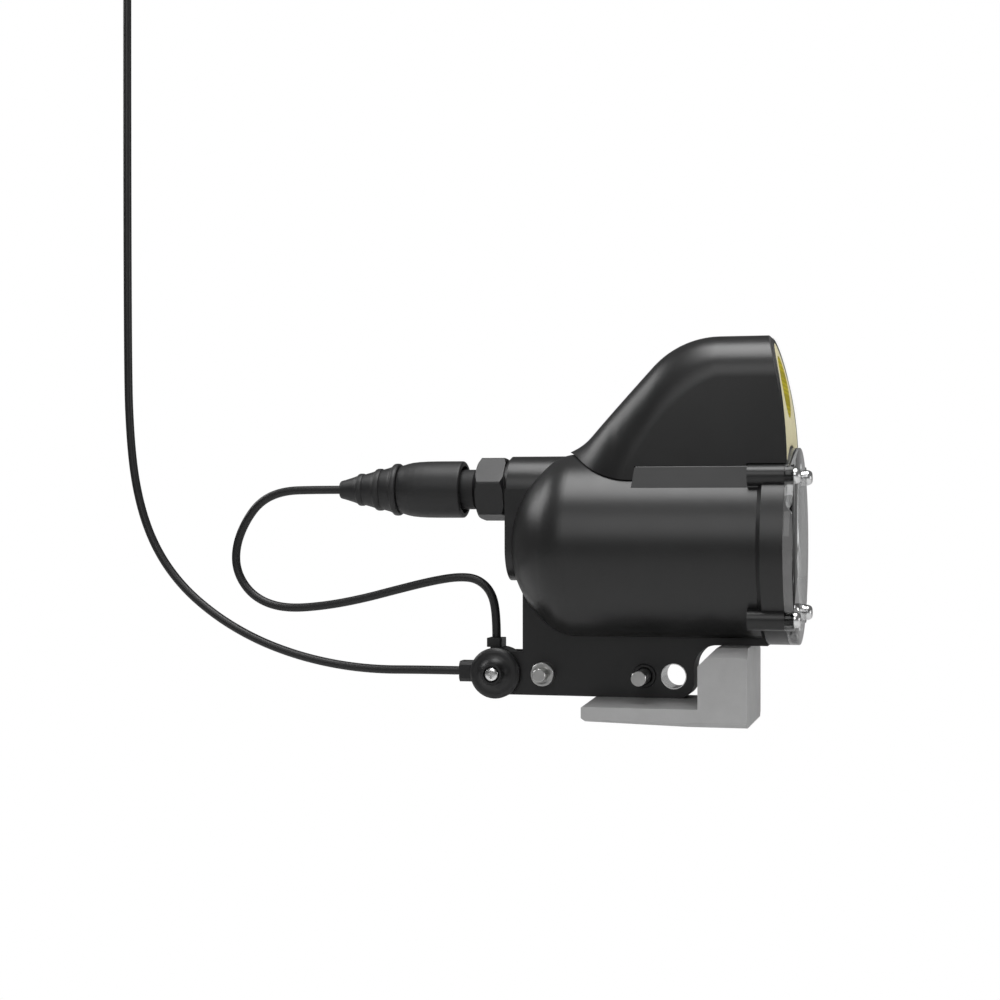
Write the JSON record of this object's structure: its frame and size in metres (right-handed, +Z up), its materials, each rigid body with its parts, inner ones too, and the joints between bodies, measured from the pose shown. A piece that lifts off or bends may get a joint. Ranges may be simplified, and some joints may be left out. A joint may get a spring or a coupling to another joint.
{
  "type": "underwater fishing camera",
  "caption": "Underwater camera with a round front window, a lamp hood above it, a keel with a weight below, and a cable clamp it hangs from.",
  "frame": {"origin": "centre of the suspension eye's bore at the upper end of the main cable, from which the camera hangs", "axes": "+X the way the camera looks, +Y to the left of its view along the suspension eye's bore, +Z up"},
  "size_m": [0.4157, 0.1094, 0.4728],
  "materials": {
    "body_plastic": "satin black moulded plastic",
    "clear_plastic": "clear polycarbonate",
    "seal_rubber": "black nitrile",
    "polished_stainless": "polished stainless steel",
    "module_black": "black anti-glare finish",
    "optical_glass": "coated optical glass",
    "circuit_board": "green solder mask",
    "brass": "plain brass",
    "hood_plastic": "satin black moulded plastic",
    "lamp_tray": "cream reflector",
    "led_phosphor": "yellow phosphor",
    "heat_sink": "plain aluminium",
    "stainless": "stainless steel",
    "boot_rubber": "black moulded rubber",
    "keel_black": "black coated aluminium",
    "clamp_black": "black moulded plastic",
    "lead_alloy": "grey cast weight",
    "cable_jacket": "black cable jacket"
  },
  "bodies": {
    "cable_side": {"suspension_eye": "stainless", "main_cable": "cable_jacket", "clamp_core": "clamp_black", "clamp_disc_near": "clamp_black", "clamp_disc_far": "clamp_black", "clamp_screw": "polished_stainless", "clamp_nut": "stainless", "cable_glands": "clamp_black"},
    "camera": {"housing": "body_plastic", "window_plate": "clear_plastic", "window_seal": "seal_rubber", "window_sleeves": "polished_stainless", "window_screws": "polished_stainless", "inner_bezel": "module_black", "lens_barrel": "module_black", "front_element": "optical_glass", "lens_lock_ring": "module_black", "chassis_ring": "module_black", "sensor_board": "circuit_board", "image_sensor": "module_black", "main_board": "circuit_board", "board_spacers": "brass", "lamp_hood": "hood_plastic", "lamp_lens": "clear_plastic", "lamp_seal": "seal_rubber", "lamp_reflector": "lamp_tray", "led_emitter": "led_phosphor", "led_board": "heat_sink", "lamp_heatsink": "heat_sink", "lamp_driver": "circuit_board", "driver_spacers": "brass", "wire_grommet": "seal_rubber", "hood_screws": "stainless", "hood_nuts": "stainless", "bulkhead_nut": "body_plastic", "bulkhead_seal": "seal_rubber", "receptacle": "module_black", "plug_body": "module_black", "plug_contacts": "brass", "strain_relief_boot": "boot_rubber", "keel": "keel_black", "keel_screws": "stainless", "keel_bush": "polished_stainless", "tail_pin": "stainless", "nose_pin": "stainless", "pin_collar": "clamp_black", "pin_nuts": "stainless", "weight": "lead_alloy", "weight_screws": "stainless", "lead_cable": "cable_jacket"},
    "sleeve": {"locking_sleeve": "boot_rubber"}
  },
  "joints": [
    {"name": "camera_tilt", "type": "hinge", "parent": "cable_side", "child": "camera", "pos_m": [0.2323, 0, -0.43875], "axis": [0, 1, 0], "range_deg": [-20, 20], "deforming": ["lead_cable"]},
    {"name": "sleeve_turn", "type": "hinge", "parent": "camera", "child": "sleeve", "pos_m": [0.1986, 0, -0.334], "axis": [1, 0, 0], "continuous": true}
  ]
}
